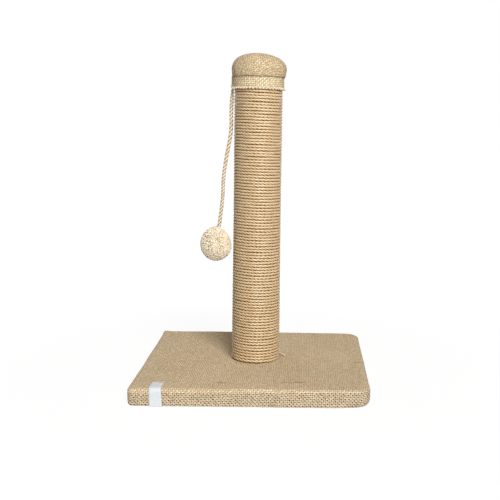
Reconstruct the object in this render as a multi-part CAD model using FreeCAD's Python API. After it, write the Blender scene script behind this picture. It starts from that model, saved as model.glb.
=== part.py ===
"""Cat scratching post: a cloth covered base, a rope wound post with a padded cap, and a pom-pom on a cord.

Millimetres. +Z is up, the origin is the centre of the base's underside and -Y is the front.
"""
import FreeCAD
import Part
import math
import os

os.makedirs("parts", exist_ok=True)

V = FreeCAD.Vector
ORIGIN = V(0, 0, 0)
X_AXIS = V(1, 0, 0)
Y_AXIS = V(0, 1, 0)
Z_AXIS = V(0, 0, 1)
FULL_TURN = 360.0

# How far a cutter runs past the face that it cuts
overrun = 2.0
# Corners nearer to each other than this are one corner
point_tolerance = 1e-6
# Air round a staple or a prong in what it is driven into
fastener_air = 0.05

# Base: a square board in jute cloth that is folded under it and stapled
base_side = 300.0
board_thickness = 20.0
board_chamfer = 1.5
cloth_thickness = 1.2
cloth_ease = 0.15
left_corner_radius = 9.0
right_corner_radius = 22.0
edge_rounding = 3.5
lower_edge_chamfer = 1.6
hem_width = 35.0
base_height = board_thickness + 2 * cloth_thickness
board_bottom = cloth_thickness
board_top = board_bottom + board_thickness

# Wire staples
staple_width = 10.0
staple_leg = 8.0
staple_wire_width = 1.0
staple_wire_thickness = 0.6
hem_staple_sink = 0.25
hem_staple_inset = 20.0
hem_staples_per_side = 3
hem_staple_end_gap = 50.0
hem_staple_run = base_side - 2 * hem_staple_end_gap

# Bare ribbon tag over the front edge
ribbon_thickness = 0.35
ribbon_air = 0.05
ribbon_width = 15.0
ribbon_from_left = 34.4
ribbon_centre_x = ribbon_from_left - base_side / 2
ribbon_top_left = 27.0
ribbon_top_right = 22.5
ribbon_lower_end = 1.9

# Post: a cardboard tube with a wooden plug in each end
tube_outer_diameter = 57.0
tube_wall = 6.5
tube_inner_diameter = tube_outer_diameter - 2 * tube_wall
tube_length = 400.0
plug_ease = 0.2
bottom_plug_height = 30.0
top_plug_height = 20.0
tube_top = base_height + tube_length

# Bolt from under the base into a tee nut in the bottom plug
bolt_diameter = 8.0
bolt_length = 45.0
bolt_head_across_flats = 13.0
bolt_head_height = 5.3
bolt_hole_diameter = 9.0
washer_diameter = 24.0
washer_hole_diameter = 8.4
washer_thickness = 1.6
counterbore_diameter = 27.0
counterbore_depth = 9.0
thread_air = 0.05
tee_nut_flange_diameter = 22.0
tee_nut_flange_thickness = 1.5
tee_nut_barrel_diameter = 10.0
tee_nut_barrel_length = 12.0
tee_nut_prong_width = 2.6
tee_nut_prong_thickness = 1.2
tee_nut_prong_length = 6.0
tee_nut_prong_inset = 1.5
tee_nut_prongs = 4

# Staples through the tube's wall into the plugs
plug_staple_bite = 4.1
plug_staple_sink = 0.6
plug_staple_leg = tube_wall + plug_staple_bite - plug_staple_sink
plug_staple_count = 4
staple_height_in_bottom_plug = 12.0
staple_depth_in_top_plug = 10.0

# Rope: 4 mm rope wound side by side. The turns at both ends are real, and a sleeve stands for those between
rope_diameter = 4.0
drawn_turn_diameter = 3.5
turns_each_end = 5
turn_sides = 4
rope_foot_gap = 0.35
rope_top_under_band = 5.7
rope_outer_radius = tube_outer_diameter / 2 + rope_diameter
turn_radius = rope_outer_radius - drawn_turn_diameter / 2
sleeve_air = 0.5

# Band of jute strip round the top of the winding
band_width = 16.0
band_thickness = 1.3
band_sides = 36
band_air = 0.5
band_top_below_tube = 13.6
band_lap_angle = 38.0
band_lap_azimuth = 80.0
band_inner_radius = rope_outer_radius + band_air
band_outer_radius = band_inner_radius + band_thickness
band_top = tube_top - band_top_below_tube
band_bottom = band_top - band_width
rope_top = band_bottom + rope_top_under_band

# Padded cap
cap_rise = 17.6
cap_overhang = 4.2
cap_radius = rope_outer_radius + cap_overhang
cap_gathers = 16
gather_depth = 0.9
gather_shares = {"tuck": 1.0, "under": 0.8, "widest": 0.5, "shoulder": 0.2}
cap_crown_chords = 2
cap_shoulder_chords = 3
cap_under_chords = 2
cap_widest_below_top = 22.0
cap_shoulder_radius = 20.0
cap_under_radius = 28.0
cap_above_band = 0.4
skirt_layers = 2
skirt_above_rope = 1.0
skirt_inner_radius = tube_outer_diameter / 2 + cloth_ease
skirt_radius = skirt_inner_radius + skirt_layers * cloth_thickness
pad_air = 0.35
pad_sides = 24
cap_top = tube_top + cap_rise
skirt_bottom = rope_top + skirt_above_rope
cap_staple_count = 8
cap_staple_bite = 2.75
cap_staple_sink = 0.3
cap_staple_leg = skirt_radius - tube_outer_diameter / 2 + cap_staple_bite - cap_staple_sink
cap_staple_above_skirt_end = 4.5

# Toy cord: it comes out from under the band and hangs beside the post
cord_diameter = 4.0
cord_end_width = 4.6
cord_end_thickness = 1.7
cord_end_length = 11.0
cord_pocket_air = 0.3
cord_pocket_radius_share = 1.45
cord_end_rounding_share = 0.45
bend_air = 0.4
cord_post_gap = 0.4
cord_exit_below_band = 2.4
cord_sides = 8
cord_radius = cord_diameter / 2
cord_exit_x = -(rope_outer_radius + cord_post_gap + cord_radius)
cord_exit_z = band_bottom - cord_exit_below_band
cord_run_share = 0.45
# Places of the cord below its exit: across and down from the exit
cord_route = [
    (0.0, 0.0),
    (-1.7, -20.4),
    (-0.9, -54.4),
    (-7.4, -88.4),
    (-11.9, -118.4),
    (-11.9, -147.4),
    (-17.0, -183.6),
]

# Pom-pom of yarn, threaded on the cord's end and held by a knot
pompom_diameter = 44.4
pompom_height = 48.6
pompom_bands = 10
ball_sides = 24
knot_bands = 6
knot_sides = 12
pompom_bore_air = 0.3
end_knot_diameter = 8.0


def cylinder(radius, height, base, axis=Z_AXIS):
    """A solid cylinder from its base centre along an axis."""
    return Part.makeCylinder(radius, height, base, axis)


def ring(outer_radius, inner_radius, low, height):
    """A round sleeve on the post's axis, standing at a height."""
    outer = cylinder(outer_radius, height, V(0, 0, low))
    return outer.cut(cylinder(inner_radius, height + 2 * overrun, V(0, 0, low - overrun)))


def turned(shape, angle, axis=Z_AXIS, centre=ORIGIN):
    """A copy of a shape, turned about an axis."""
    copy = shape.copy()
    copy.rotate(centre, axis, angle)
    return copy


def moved(shape, place):
    """A copy of a shape, moved by a vector."""
    copy = shape.copy()
    copy.translate(place)
    return copy


def base_outline(inset):
    """The base's plan as a face: a square with small left corners and larger right ones."""
    half = base_side / 2 - inset
    left = left_corner_radius - inset
    right = right_corner_radius - inset
    diagonal = math.sqrt(0.5)
    corners = [(-half, -half, left), (half, -half, right), (half, half, right), (-half, half, left)]
    edges = []
    starts = []
    ends = []
    for x, y, radius in corners:
        sx = math.copysign(1, x)
        sy = math.copysign(1, y)
        centre = V(x - sx * radius, y - sy * radius, 0)
        along_x = centre + V(0, sy * radius, 0)
        along_y = centre + V(sx * radius, 0, 0)
        middle = centre + V(sx * radius * diagonal, sy * radius * diagonal, 0)
        first, last = (along_y, along_x) if sx * sy > 0 else (along_x, along_y)
        starts.append(first)
        ends.append(last)
        edges.append(Part.Arc(first, middle, last).toShape())
    for i in range(len(corners)):
        edges.append(Part.LineSegment(ends[i], starts[(i + 1) % len(corners)]).toShape())
    return Part.Face(Part.Wire(Part.__sortEdges__(edges)))


def base_block(inset, low, high):
    """A block of the base's plan between two heights."""
    return moved(base_outline(inset), V(0, 0, low)).extrude(V(0, 0, high - low))


def level_edges(block):
    """The edges of a block that lie in its upper and lower faces."""
    return [e for e in block.Edges if e.BoundBox.ZLength < block.BoundBox.ZLength / 2]


def covered_slab(out, low):
    """The covered base grown outwards: rounded upper edges, and small flats along the lower ones."""
    block = base_block(-out, low, base_height + out)
    middle = (low + base_height) / 2
    upper = [e for e in level_edges(block) if e.BoundBox.ZMin > middle]
    block = block.makeFillet(edge_rounding + out, upper)
    lower = [e for e in level_edges(block) if e.BoundBox.ZMax < middle]
    return block.makeChamfer(lower_edge_chamfer, lower)


def chamfered_slab(inset, low, high):
    """The board's block, or its room in the cloth, with small flats along the edges."""
    block = base_block(inset, low, high)
    return block.makeChamfer(board_chamfer, level_edges(block))


def staple(leg, air=0.0):
    """A wire staple: the crown lies on the XY plane along X and the legs point up."""
    half = staple_width / 2
    wide = staple_wire_width + 2 * air
    thick = staple_wire_thickness + 2 * air
    corner = V(-half - air, -wide / 2, -air)
    crown = Part.makeBox(staple_width + 2 * air, wide, thick, corner)
    legs = []
    for x in (-half - air, half - staple_wire_thickness - air):
        legs.append(Part.makeBox(thick, wide, leg + 2 * air, V(x, -wide / 2, -air)))
    return crown.fuse(legs).removeSplitter()


def hem_staples(air=0.0):
    """Staples along the four sides of the hem, driven up from below."""
    staples = []
    spacing = hem_staple_run / (hem_staples_per_side - 1)
    for side in range(4):
        for i in range(hem_staples_per_side):
            along = -hem_staple_run / 2 + i * spacing
            place = V(along, -base_side / 2 + hem_staple_inset, hem_staple_sink)
            staples.append(turned(moved(staple(staple_leg, air), place), side * FULL_TURN / 4))
    return staples


def round_staples(radius, height, leg, count, air):
    """Staples driven straight in all round the post, with their crowns level."""
    staples = []
    for i in range(count):
        one = turned(staple(leg, air), -FULL_TURN / 4, X_AXIS)
        staples.append(turned(moved(one, V(0, -radius, height)), (i + 0.5) * FULL_TURN / count))
    return staples


def cap_staples(air=0.0):
    """Staples round the cap's skirt, driven through it into the tube."""
    height = skirt_bottom + cap_staple_above_skirt_end
    return round_staples(skirt_radius - cap_staple_sink, height, cap_staple_leg, cap_staple_count, air)


def plug_staples(air=0.0):
    """Staples through the tube's wall: one ring into each plug."""
    radius = tube_outer_diameter / 2 - plug_staple_sink
    staples = []
    for height in (base_height + staple_height_in_bottom_plug, tube_top - staple_depth_in_top_plug):
        staples += round_staples(radius, height, plug_staple_leg, plug_staple_count, air)
    return staples


def base_board():
    """The board, with a sunk hole for the bolt's head and pockets for the staples."""
    board = chamfered_slab(cloth_thickness + cloth_ease, board_bottom, board_top)
    hole = cylinder(bolt_hole_diameter / 2, board_thickness + 2 * overrun, V(0, 0, board_bottom - overrun))
    sink = cylinder(counterbore_diameter / 2, counterbore_depth + overrun, V(0, 0, board_bottom - overrun))
    return board.cut([hole, sink] + hem_staples(fastener_air))


def base_cover():
    """The jute cloth round the board, open inside its hem below and pierced for the bolt above."""
    outside = covered_slab(0, 0)
    inside = chamfered_slab(cloth_thickness, board_bottom, board_top)
    window_side = base_side - 2 * hem_width
    corner = V(-window_side / 2, -window_side / 2, -overrun)
    window = Part.makeBox(window_side, window_side, cloth_thickness + 2 * overrun, corner)
    bolt_hole = cylinder(bolt_hole_diameter / 2, base_height, V(0, 0, board_bottom))
    return outside.cut([inside, window, bolt_hole] + hem_staples(fastener_air))


def tag_ribbon():
    """A bare satin ribbon laid over the front edge, with a slanting upper end."""
    skins = []
    for out in (ribbon_air + ribbon_thickness, ribbon_air):
        skins.append(covered_slab(out, -out))
    left = ribbon_centre_x - ribbon_width / 2
    right = ribbon_centre_x + ribbon_width / 2
    front = -base_side / 2
    points = [
        V(left, front - overrun, ribbon_lower_end),
        V(right, front - overrun, ribbon_lower_end),
        V(right, front + ribbon_top_right, ribbon_lower_end),
        V(left, front + ribbon_top_left, ribbon_lower_end),
    ]
    reach = Part.Face(Part.makePolygon(points + points[:1])).extrude(V(0, 0, base_height + overrun))
    return skins[0].cut(skins[1]).common(reach)


def post_tube():
    """The cardboard tube, with holes for the staples of its plugs and of the cap."""
    tube = ring(tube_outer_diameter / 2, tube_inner_diameter / 2, base_height, tube_length)
    return tube.cut(plug_staples(fastener_air) + cap_staples(fastener_air))


def tee_nut():
    """A flanged nut: its barrel and prongs point down into the plug."""
    top = base_height + bottom_plug_height
    flange = cylinder(tee_nut_flange_diameter / 2, tee_nut_flange_thickness, V(0, 0, top))
    barrel_foot = V(0, 0, top - tee_nut_barrel_length)
    barrel = cylinder(tee_nut_barrel_diameter / 2, tee_nut_barrel_length, barrel_foot)
    nut = flange.fuse([barrel] + tee_nut_prong_set(0.0))
    bore_low = V(0, 0, top - tee_nut_barrel_length - overrun)
    bore_height = tee_nut_barrel_length + tee_nut_flange_thickness + 2 * overrun
    return nut.cut(cylinder(bolt_diameter / 2 + thread_air, bore_height, bore_low)).removeSplitter()


def tee_nut_prong_set(air):
    """The prongs at the flange's rim, or the slots that they make."""
    top = base_height + bottom_plug_height
    prongs = []
    for i in range(tee_nut_prongs):
        corner = V(
            tee_nut_flange_diameter / 2 - tee_nut_prong_inset - tee_nut_prong_thickness - air,
            -tee_nut_prong_width / 2 - air,
            top - tee_nut_prong_length - air,
        )
        thick = tee_nut_prong_thickness + 2 * air
        wide = tee_nut_prong_width + 2 * air
        prong = Part.makeBox(thick, wide, tee_nut_prong_length + 2 * air, corner)
        prongs.append(turned(prong, (i + 0.5) * FULL_TURN / tee_nut_prongs))
    return prongs


def bottom_plug():
    """The wooden disc in the tube's foot that the bolt pulls down on the base."""
    plug = cylinder(tube_inner_diameter / 2 - plug_ease, bottom_plug_height, V(0, 0, base_height))
    top = base_height + bottom_plug_height
    hole_height = bottom_plug_height + 2 * overrun
    bolt_hole = cylinder(bolt_hole_diameter / 2, hole_height, V(0, 0, base_height - overrun))
    barrel_radius = tee_nut_barrel_diameter / 2 + thread_air
    barrel_depth = tee_nut_barrel_length + fastener_air
    barrel_hole = cylinder(barrel_radius, barrel_depth + overrun, V(0, 0, top - barrel_depth))
    return plug.cut([bolt_hole, barrel_hole] + tee_nut_prong_set(fastener_air) + plug_staples(fastener_air))


def top_plug():
    """The wooden disc in the tube's upper end, flush with it."""
    plug = cylinder(tube_inner_diameter / 2 - plug_ease, top_plug_height, V(0, 0, tube_top - top_plug_height))
    return plug.cut(plug_staples(fastener_air))


def post_bolt():
    """The hexagon head bolt in the board's counterbore."""
    seat = board_bottom + counterbore_depth - washer_thickness
    corner_radius = bolt_head_across_flats / math.sqrt(3)
    corners = [V(corner_radius, 0, 0)]
    for i in range(1, 6):
        corners.append(turned(Part.Vertex(corners[0]), i * FULL_TURN / 6).Point)
    head = Part.Face(Part.makePolygon(corners + corners[:1])).extrude(V(0, 0, bolt_head_height))
    head = moved(head, V(0, 0, seat - bolt_head_height))
    return head.fuse(cylinder(bolt_diameter / 2, bolt_length, V(0, 0, seat))).removeSplitter()


def bolt_washer():
    """The wide washer between the bolt's head and the board."""
    low = board_bottom + counterbore_depth - washer_thickness
    return ring(washer_diameter / 2, washer_hole_diameter / 2, low, washer_thickness)


def helix_point(radius, low, angle):
    """A point of the rope's centre line, wound left-handed, by its angle in radians from the start."""
    climb = rope_diameter * angle / (2 * math.pi)
    return V(radius * math.cos(angle), -radius * math.sin(angle), low + climb)


def helix_tangent(radius, angle):
    """The rope's direction at an angle."""
    slope = rope_diameter / (2 * math.pi)
    return V(-radius * math.sin(angle), -radius * math.cos(angle), slope).normalize()


def arc_from_corner(start, corner, end):
    """The arc that is tangent to both legs of a corner whose legs are equally long."""
    middle = (start + end) * 0.5
    rise = corner - middle
    half_chord = (end - start).Length / 2
    leg = (corner - start).Length
    sagitta = half_chord * (leg - half_chord) / rise.Length
    return Part.Arc(start, middle + rise.normalize() * sagitta, end).toShape()


def biarc(start, start_way, end, end_way):
    """Two tangent arcs that join two points with given directions."""
    span = end - start
    both = start_way + end_way
    bend = 2 * (1 - start_way.dot(end_way))
    reach = (-span.dot(both) + math.sqrt(span.dot(both) ** 2 + bend * span.dot(span))) / bend
    first_corner = start + start_way * reach
    second_corner = end - end_way * reach
    joint = (first_corner + second_corner) * 0.5
    return [arc_from_corner(start, first_corner, joint), arc_from_corner(joint, second_corner, end)]


def section_wire(centre, way, up, diameter, sides):
    """A many-sided section of a rope, square to its direction."""
    side = way.cross(up).normalize()
    top = side.cross(way).normalize()
    radius = diameter / 2
    points = []
    for i in range(sides):
        angle = i * 2 * math.pi / sides
        points.append(centre + side * (radius * math.cos(angle)) + top * (radius * math.sin(angle)))
    return Part.makePolygon(points + points[:1])


def wound_turns(low, name):
    """Real turns of the rope from a height up, as one unbroken tube with straight ends."""
    half_turns = 2 * turns_each_end
    angles = [i * math.pi for i in range(half_turns + 1)]
    points = [helix_point(turn_radius, low, a) for a in angles]
    ways = [helix_tangent(turn_radius, a) for a in angles]
    first = points[0] - ways[0] * drawn_turn_diameter
    last = points[-1] + ways[-1] * drawn_turn_diameter
    edges = [Part.LineSegment(first, points[0]).toShape()]
    for i in range(half_turns):
        edges += biarc(points[i], ways[i], points[i + 1], ways[i + 1])
    edges.append(Part.LineSegment(points[-1], last).toShape())
    path = Part.Wire(edges)
    section = section_wire(first, ways[0], Z_AXIS, drawn_turn_diameter, turn_sides)
    tube = path.makePipeShell([section], True, False)
    solid = Part.Solid(tube) if tube.ShapeType == "Shell" else tube
    section_area = Part.Face(section).Area
    print(name, "volume", round(solid.Volume), "section times length", round(section_area * path.Length))
    print(name, "least gap to itself", round(least_gap(path), 2), "mm")
    return solid


def least_gap(path):
    """The least air between turns, from points along the centre line."""
    steps_per_turn = 120
    samples = path.discretize(steps_per_turn * turns_each_end)
    nearest = path.Length
    for i, here in enumerate(samples):
        for there in samples[i + steps_per_turn // 2:i + 2 * steps_per_turn]:
            nearest = min(nearest, (there - here).Length)
    return nearest - drawn_turn_diameter


def rope_winding():
    """The winding: real turns at the foot and below the cap, and a sleeve of their size between."""
    wound_height = turns_each_end * rope_diameter
    foot_start = base_height + rope_foot_gap + drawn_turn_diameter / 2
    top_start = rope_top - drawn_turn_diameter / 2 - wound_height
    foot = wound_turns(foot_start, "turns at the foot")
    top = wound_turns(top_start, "turns below the cap")
    sleeve_low = foot_start + wound_height + drawn_turn_diameter / 2 + sleeve_air
    sleeve_high = top_start - drawn_turn_diameter / 2 - sleeve_air
    inside = turn_radius - drawn_turn_diameter / 2
    sleeve = ring(rope_outer_radius, inside, sleeve_low, sleeve_high - sleeve_low)
    return Part.Compound([foot, sleeve, top])


def lofted_round(profile, sides, gathers=None):
    """A closed round form about the Z axis, with flat faces between many-sided rings.

    The profile runs from the lowest to the highest place. A place is (radius, height), and gathers, where
    given, hold how far every second corner of that place's ring is drawn in.
    """
    rings = []
    for index, (radius, height) in enumerate(profile):
        drawn_in = gathers[index] if gathers else 0
        points = []
        for i in range(sides):
            here = radius - (drawn_in if i % 2 else 0)
            angle = i * 2 * math.pi / sides
            points.append(V(here * math.cos(angle), here * math.sin(angle), height))
        rings.append(points)
    faces = []
    for lower, upper in zip(rings, rings[1:]):
        for i in range(sides):
            j = (i + 1) % sides
            faces += flat_faces([lower[i], lower[j], upper[j], upper[i]])
    for ring_points in (rings[0][::-1], rings[-1]):
        faces += flat_faces(ring_points)
    return Part.Solid(Part.Shell(faces))


def flat_faces(points):
    """One flat face through the points, or triangles where they don't lie flat, or none where they meet."""
    corners = []
    for point in points:
        if not corners or (point - corners[-1]).Length > point_tolerance:
            corners.append(point)
    if len(corners) > 1 and (corners[0] - corners[-1]).Length <= point_tolerance:
        corners.pop()
    if len(corners) < 3:
        return []
    if len(corners) == 4:
        normal = (corners[1] - corners[0]).cross(corners[3] - corners[0])
        if abs(normal.normalize().dot(corners[2] - corners[0])) > point_tolerance:
            return flat_faces(corners[:3]) + flat_faces([corners[0], corners[2], corners[3]])
    return [Part.Face(Part.makePolygon(corners + corners[:1]))]


def arc_places(centre, radius, start_angle, end_angle, chords):
    """Places along an arc in the (radius, height) plane, without its first one."""
    places = []
    for i in range(1, chords + 1):
        angle = start_angle + (end_angle - start_angle) * i / chords
        places.append((centre.x + radius * math.cos(angle), centre.z + radius * math.sin(angle)))
    return places


def cap_body(inset, skirt, low, gathered=True):
    """The cap as a round form: skirt, tuck, drawn-in underside, shoulder and crown, with any gathers."""
    reach = cap_radius - cap_shoulder_radius
    rise = cap_widest_below_top
    crown_radius = (reach ** 2 + rise ** 2 - cap_shoulder_radius ** 2) / (2 * (rise - cap_shoulder_radius))
    widest = cap_top - cap_widest_below_top
    shoulder = V(reach, 0, widest)
    crown = V(0, 0, cap_top - crown_radius)
    under = V(cap_radius - cap_under_radius, 0, widest)
    meet_angle = math.atan2(shoulder.z - crown.z, shoulder.x)
    tuck = tuck_height(inset)
    under_radius = cap_under_radius - inset
    under_angle = -math.asin((widest - tuck) / under_radius)
    under_end = (under.x + under_radius * math.cos(under_angle), tuck)
    profile = [(skirt, low), (skirt, tuck), under_end]
    profile += arc_places(under, under_radius, under_angle, 0, cap_under_chords)
    profile += arc_places(shoulder, cap_shoulder_radius - inset, 0, meet_angle, cap_shoulder_chords)
    profile += arc_places(crown, crown_radius - inset, meet_angle, math.pi / 2, cap_crown_chords)
    profile[-1] = (0, cap_top - inset)
    shares = [gather_shares[place] for place in ("tuck", "under", "widest", "shoulder")]
    gathers = [0, 0] + [gather_depth * share for share in shares]
    gathers += [0] * (len(profile) - len(gathers))
    if not gathered:
        profile = [(radius - drawn_in, height) for (radius, height), drawn_in in zip(profile, gathers)]
        return lofted_round(profile, pad_sides)
    return lofted_round(profile, 2 * cap_gathers, gathers)


def tuck_height(inset):
    """The height at which the cap turns in towards the tube, just above the band."""
    return band_top + cap_above_band + inset


def cap_cover():
    """The cloth over the pad, gathered double where it is stapled to the tube under the band."""
    outside = cap_body(0, skirt_radius, skirt_bottom)
    inside = cap_body(cloth_thickness, skirt_inner_radius, skirt_bottom - overrun)
    return outside.cut([inside] + cap_staples(fastener_air))


def cap_pad():
    """The wadding: a crowned pad on the tube's end that reaches down round it to the tuck."""
    inset = cloth_thickness + pad_air
    low = tuck_height(inset)
    pad = cap_body(inset, skirt_inner_radius, low, gathered=False)
    socket_low = V(0, 0, low - overrun)
    return pad.cut(cylinder(tube_outer_diameter / 2 + pad_air, tube_top + pad_air - socket_low.z, socket_low))


def cap_band():
    """The jute strip round the top of the winding: lapped at the back, bulged over the cord's end."""
    pocket_radius = cord_end_width * cord_pocket_radius_share
    pocket_reach = rope_outer_radius + cord_end_thickness + 2 * cord_pocket_air
    bulge_x = pocket_radius - pocket_reach
    low = band_bottom - overrun
    high = band_top + overrun
    outer = band_drum(band_outer_radius, band_bottom, band_top)
    bulge = cylinder(pocket_radius + band_thickness, band_width, V(bulge_x, 0, band_bottom))
    lap = band_drum(band_outer_radius + band_thickness, band_bottom, band_top)
    wedge = Part.makeCylinder(2 * band_outer_radius, band_width, V(0, 0, band_bottom), Z_AXIS, band_lap_angle)
    solid_band = outer.fuse([bulge, lap.common(turned(wedge, band_lap_azimuth))])
    pocket = cylinder(pocket_radius, high - low, V(bulge_x, 0, low))
    return solid_band.cut([band_drum(band_inner_radius, low, high), pocket]).removeSplitter()


def band_drum(radius, low, high):
    """A many-sided drum about the post's axis."""
    return lofted_round([(radius, low), (radius, high)], band_sides)


def cord_fixed_end():
    """The cord's flattened upper end, glued between the winding and the band."""
    low = cord_exit_z + cord_radius + bend_air
    near = -(rope_outer_radius + cord_pocket_air)
    corner = V(near - cord_end_thickness, -cord_end_width / 2, low)
    end = Part.makeBox(cord_end_thickness, cord_end_width, cord_end_length, corner)
    upright = [e for e in end.Edges if e.BoundBox.ZLength > cord_end_width]
    return end.makeFillet(cord_end_thickness * cord_end_rounding_share, upright)


def cord_exit():
    """The place where the cord comes out from under the band."""
    return V(cord_exit_x, 0, cord_exit_z)


def cord_points():
    """The corners of the cord's route, from its exit to the pom-pom's top."""
    return [cord_exit() + V(across, 0, down) for across, down in cord_route]


def ball(diameter, height, bands, sides):
    """A many-sided ball at the origin, longer or shorter than it is wide."""
    profile = []
    for i in range(bands + 1):
        angle = math.pi * i / bands
        profile.append((diameter / 2 * math.sin(angle), -height / 2 * math.cos(angle)))
    profile[0] = (0, -height / 2)
    profile[-1] = (0, height / 2)
    return lofted_round(profile, sides)


def cord_bend():
    """The cord's first bend below the band, round so that the cord can swing every way."""
    return moved(ball(cord_diameter, cord_diameter, knot_bands, knot_sides), cord_exit())


def toy_cord():
    """The free cord: straight runs joined by tangent arcs, hollowed at its top for the bend."""
    points = cord_points()
    edges = []
    here = points[0]
    for before, corner, after in zip(points, points[1:], points[2:]):
        arriving = (corner - before).normalize()
        leaving = (after - corner).normalize()
        half_turn = arriving.getAngle(leaving) / 2
        cut = cord_run_share * min((corner - before).Length, (after - corner).Length)
        print("cord arc radius", round(cut / math.tan(half_turn)), "mm")
        start = corner - arriving * cut
        end = corner + leaving * cut
        edges.append(Part.LineSegment(here, start).toShape())
        edges.append(arc_from_corner(start, corner, end))
        here = end
    edges.append(Part.LineSegment(here, points[-1]).toShape())
    path = Part.Wire(edges)
    way = (points[1] - points[0]).normalize()
    section = section_wire(points[0], way, Y_AXIS, cord_diameter, cord_sides)
    tube = path.makePipeShell([section], True, False)
    section_area = Part.Face(section).Area
    print("cord length", round(path.Length, 1), "volume", round(tube.Volume), "section times length",
          round(section_area * path.Length))
    room = cord_diameter + 2 * bend_air
    return tube.cut(moved(ball(room, room, knot_bands, knot_sides), cord_exit()))


def pompom_axis():
    """The direction of the cord's last run, which the pom-pom hangs and turns on."""
    points = cord_points()
    return (points[-1] - points[-2]).normalize()


def pompom_centre():
    """The pom-pom's centre, where its side just clears the rope."""
    top = cord_points()[-1]
    return top + pompom_axis() * (pompom_height / 2)


def along_pompom(shape):
    """A shape that was made about the Z axis at the origin, put on the pom-pom's own axis."""
    placed = shape.copy()
    turn = FreeCAD.Rotation(Z_AXIS, -pompom_axis())
    placed.Placement = FreeCAD.Placement(pompom_centre(), turn)
    return placed


def pompom():
    """The ball of yarn, a little longer than wide, with the hole that the cord and its knot fill."""
    yarn = ball(pompom_diameter, pompom_height, pompom_bands, ball_sides)
    bore_radius = cord_radius + pompom_bore_air
    bore = lofted_round([(bore_radius, 0), (bore_radius, pompom_height)], knot_sides)
    room = end_knot_diameter + 2 * pompom_bore_air
    return along_pompom(yarn.cut([bore, ball(room, room, knot_bands, knot_sides)]))


def cord_end_knot():
    """The cord's end inside the pom-pom: a short length and the knot that the ball hangs on."""
    stem = lofted_round([(cord_radius, 0), (cord_radius, pompom_height / 2)], knot_sides)
    knot = ball(end_knot_diameter, end_knot_diameter, knot_bands, knot_sides)
    return along_pompom(stem.fuse(knot))


def write(name, shape):
    """Write one piece, or a group of alike pieces, to its own file."""
    shape.exportStep("parts/" + name + ".step")


write("base_board", base_board())
write("base_cover", base_cover())
write("cover_staples", Part.Compound(hem_staples()))
write("tag_ribbon", tag_ribbon())
write("post_tube", post_tube())
write("bottom_plug", bottom_plug())
write("top_plug", top_plug())
write("plug_staples", Part.Compound(plug_staples()))
write("tee_nut", tee_nut())
write("post_bolt", post_bolt())
write("bolt_washer", bolt_washer())
write("rope_winding", rope_winding())
write("cap_pad", cap_pad())
write("cap_cover", cap_cover())
write("cap_staples", Part.Compound(cap_staples()))
write("cap_band", cap_band())
write("cord_fixed_end", cord_fixed_end())
write("cord_bend", cord_bend())
write("toy_cord", toy_cord())
write("cord_end_knot", cord_end_knot())
write("pompom", pompom())
print("pom-pom centre", [round(c, 2) for c in pompom_centre()])
print("pom-pom axis", [round(c, 5) for c in pompom_axis()])
print("cord exit", [round(c, 2) for c in cord_exit()])
gap = -pompom_centre().x - rope_outer_radius - pompom_diameter / 2
print("pom-pom clears the rope by about", round(gap, 2), "mm")
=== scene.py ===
"""The looks of a cat scratching post: jute cloth base, rope wound post, gathered cap and a ball on a cord."""
import math
import random

import bmesh
import bpy
from mathutils import Matrix, Vector, noise


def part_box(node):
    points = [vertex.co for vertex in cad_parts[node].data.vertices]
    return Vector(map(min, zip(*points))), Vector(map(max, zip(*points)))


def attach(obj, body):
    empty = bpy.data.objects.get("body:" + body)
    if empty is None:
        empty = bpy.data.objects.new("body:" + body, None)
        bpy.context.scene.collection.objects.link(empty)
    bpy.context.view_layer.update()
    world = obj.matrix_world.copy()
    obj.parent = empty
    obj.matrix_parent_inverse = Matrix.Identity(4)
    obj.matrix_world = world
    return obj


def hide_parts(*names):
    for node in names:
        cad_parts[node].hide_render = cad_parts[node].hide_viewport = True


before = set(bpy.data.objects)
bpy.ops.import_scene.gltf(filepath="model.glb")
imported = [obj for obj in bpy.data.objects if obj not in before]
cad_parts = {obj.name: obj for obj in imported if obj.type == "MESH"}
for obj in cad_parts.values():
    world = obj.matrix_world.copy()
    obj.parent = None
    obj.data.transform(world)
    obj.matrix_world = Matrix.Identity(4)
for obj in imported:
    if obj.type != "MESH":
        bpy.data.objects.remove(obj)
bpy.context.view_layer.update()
mm = 0.001

# The camera stands where the photograph was taken: a little over a metre in front of the base, slightly to
# its right, looking gently down and tilted by a degree. The photograph is cut off centre, which is the lens
# shift.
camera_data = bpy.data.cameras.new("camera")
camera_data.sensor_width = 36.0
camera_data.lens = 62.53
camera_data.shift_x = -0.16
camera = bpy.data.objects.new("camera", camera_data)
camera_place = Matrix.Translation(Vector((57.8, -1185.9, 350.9)) * mm)
camera_to_the_right = Matrix.Rotation(math.radians(-2.08), 4, "Z")
camera_downwards = Matrix.Rotation(math.radians(90 - 8.36), 4, "X")
camera_roll = Matrix.Rotation(math.radians(1.38), 4, "Z")
camera.matrix_world = camera_place @ camera_to_the_right @ camera_downwards @ camera_roll
bpy.context.scene.collection.objects.link(camera)
bpy.context.scene.camera = camera
bpy.context.scene.view_settings.view_transform = "Standard"


# The toy cord's line comes before the rest, because the ball hangs on it. It is a 4 mm jute cord, glued under
# the band, that hangs down beside the post in a slight bow. Its places are across and up from its exit, in
# millimetres.
cord_diameter = 4.0 * mm
cord_exit = Vector((-34.9, 0, 390.4)) * mm
cord_route = [
    (0.0, 0.0),
    (-1.7, -20.4),
    (-0.9, -54.4),
    (-7.4, -88.4),
    (-11.9, -118.4),
    (-11.9, -147.4),
    (-17.0, -183.6),
]
cord_points = [cord_exit + Vector((across, 0, up)) * mm for across, up in cord_route]


def curve_object(name, dimensions="3D"):
    """An empty curve in the scene."""
    curve = bpy.data.objects.new(name, bpy.data.curves.new(name, "CURVE"))
    curve.data.dimensions = dimensions
    bpy.context.scene.collection.objects.link(curve)
    return curve


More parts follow.
